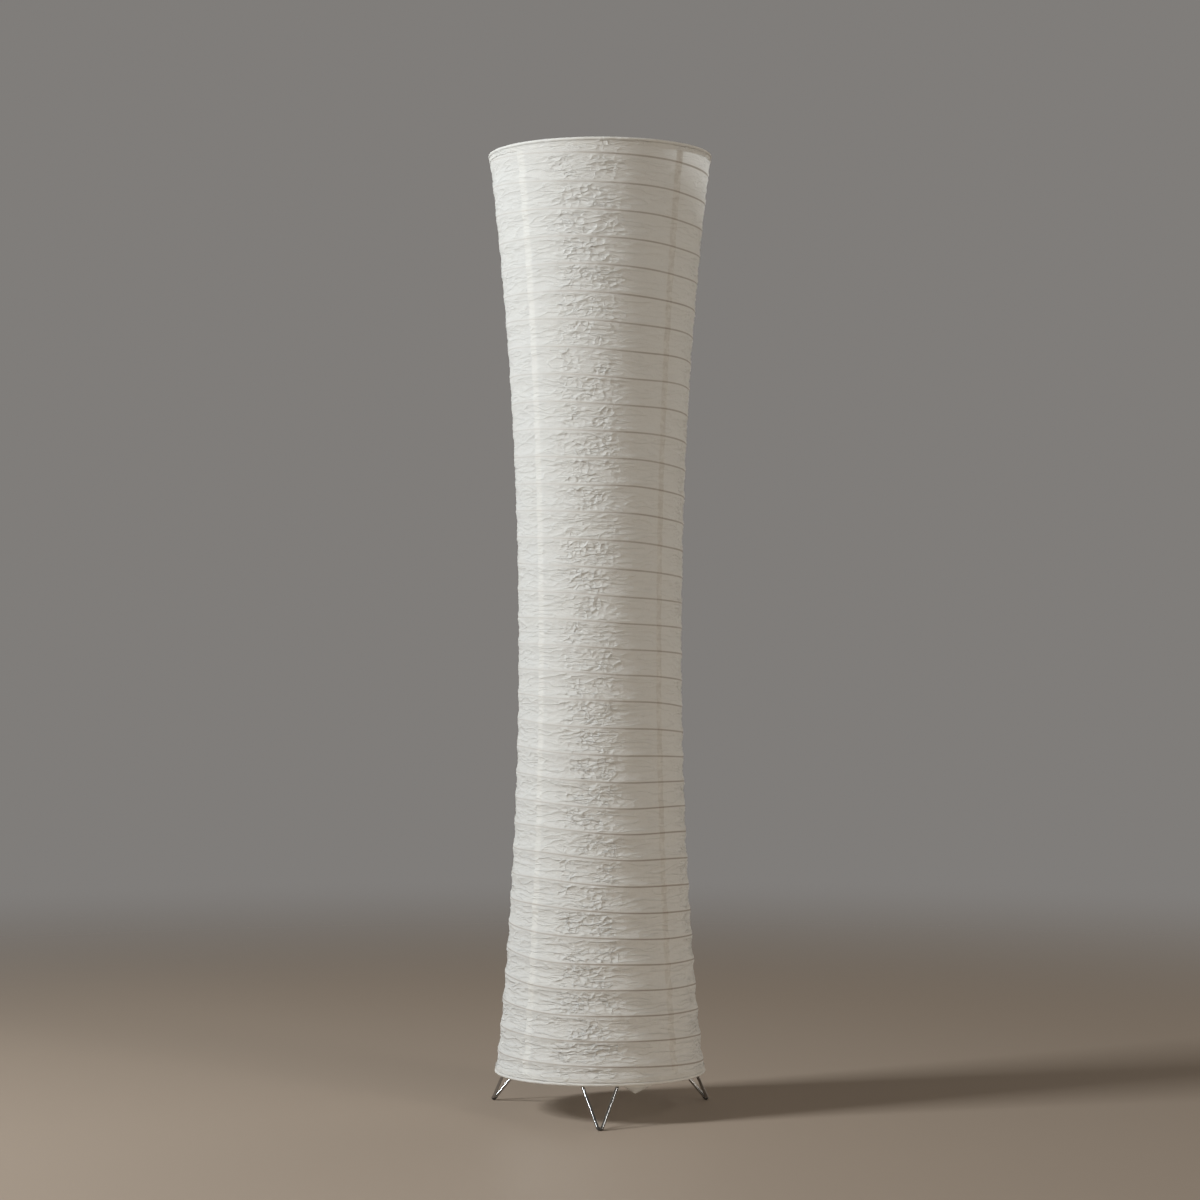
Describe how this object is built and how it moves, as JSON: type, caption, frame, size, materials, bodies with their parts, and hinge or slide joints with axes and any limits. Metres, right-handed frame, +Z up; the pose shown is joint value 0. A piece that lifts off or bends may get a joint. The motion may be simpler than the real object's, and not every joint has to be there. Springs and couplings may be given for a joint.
{
  "type": "floor lamp",
  "caption": "Tall waisted paper lantern floor lamp with a spiral-ribbed shade on wire uprights, standing on V-shaped wire legs.",
  "frame": {"origin": "on the floor, on the lantern's axis", "axes": "+Z up along the lantern's axis; the front leg points along -Y, the other two at 30 and 150 degrees from +X"},
  "size_m": [0.2758, 0.2958, 1.18],
  "materials": {
    "rice_paper": "matte, crinkled, translucent",
    "hoop_wire": "white powder coat",
    "rib_wire": "drawn wire",
    "bright_wire": "polished",
    "dark_vinyl": "satin",
    "zinc_plate": "zinc plated",
    "steel_rod": "bright drawn",
    "screw_steel": "plated",
    "brass": "plain",
    "white_holder": "moulded",
    "holder_ceramic": "unglazed",
    "solder": "dull",
    "bulb_black": "vitrite",
    "bulb_cap": "rolled thread",
    "opal_glass": "opal white"
  },
  "bodies": {
    "stand": {"base_ring": "bright_wire", "leg_front": "bright_wire", "leg_right": "bright_wire", "leg_left": "bright_wire", "foot_sleeve_front": "dark_vinyl", "foot_sleeve_right": "dark_vinyl", "foot_sleeve_left": "dark_vinyl", "bridge_plate": "zinc_plate", "socket_front": "zinc_plate", "socket_right": "zinc_plate", "socket_left": "zinc_plate", "socket_screws": "screw_steel", "upright_front": "steel_rod", "upright_right": "steel_rod", "upright_left": "steel_rod", "head_ring": "steel_rod", "top_hoop": "hoop_wire", "top_hem": "rice_paper", "gore_front": "rice_paper", "gore_right": "rice_paper", "gore_back": "rice_paper", "gore_left": "rice_paper", "rib_wire": "rib_wire", "nipple": "brass", "washer": "screw_steel", "locknut": "screw_steel", "cord_grip": "white_holder", "holder_cap": "white_holder", "holder_core": "holder_ceramic", "holder_contact": "brass", "holder_thread": "brass", "holder_shell": "white_holder"},
    "skirt": {"bottom_hoop": "hoop_wire", "bottom_hem": "rice_paper"},
    "bulb_tip": {"bulb_contact": "solder"},
    "bulb": {"bulb_insulator": "bulb_black", "bulb_cap": "bulb_cap", "bulb_glass": "opal_glass"}
  },
  "joints": [
    {"name": "skirt_raise", "type": "slide", "parent": "stand", "child": "skirt", "axis": [0, 0, 1], "range_m": [0, 1.03], "deforming": ["gore_front", "gore_right", "gore_back", "gore_left", "rib_wire"]},
    {"name": "bulb_rise", "type": "slide", "parent": "stand", "child": "bulb_tip", "axis": [0, 0, 1], "range_m": [0, 0.0218]},
    {"name": "bulb_turn", "type": "hinge", "parent": "bulb_tip", "child": "bulb", "pos_m": [0, 0, 0.1], "axis": [0, 0, 1], "range_deg": [0, 2160]}
  ],
  "couplings": [
    {"joint": "bulb_rise", "follows": "bulb_turn", "m_per_rad": 0.00057773}
  ]
}
